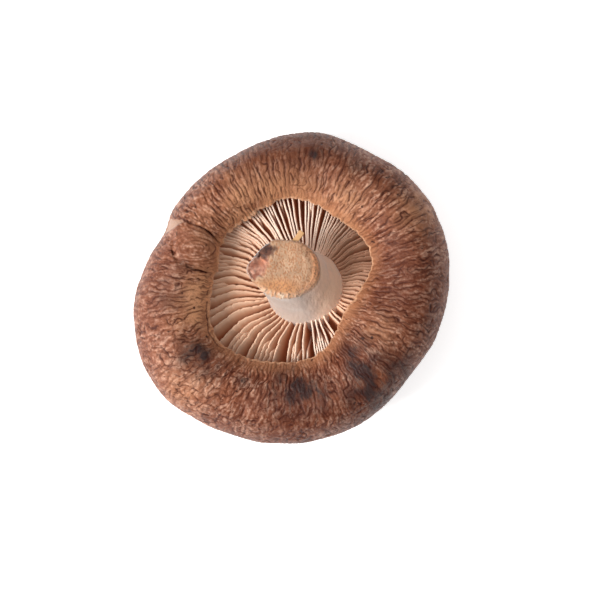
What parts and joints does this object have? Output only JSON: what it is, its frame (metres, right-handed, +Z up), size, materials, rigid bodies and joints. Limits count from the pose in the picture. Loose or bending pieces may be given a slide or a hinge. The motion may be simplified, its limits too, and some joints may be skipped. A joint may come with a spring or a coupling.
{
  "type": "shiitake mushroom",
  "caption": "Fresh shiitake mushroom lying on its crown: brown leathery cap with a rolled-in rim, crowded gills and a short leaning cut stem.",
  "frame": {"origin": "middle of the small flat spot on the cap's crown that the mushroom rests on", "axes": "+Z up, out of the gills; +X to the right and +Y to the back, seen from above with the fold in the rim at the left"},
  "size_m": [0.0703, 0.0693, 0.0243],
  "materials": {
    "cap_skin": "satin",
    "gill_flesh": "matte",
    "stem_flesh": "matte"
  },
  "bodies": {
    "root": {"cap": "cap_skin", "gills": "gill_flesh", "stem": "stem_flesh"}
  },
  "joints": []
}
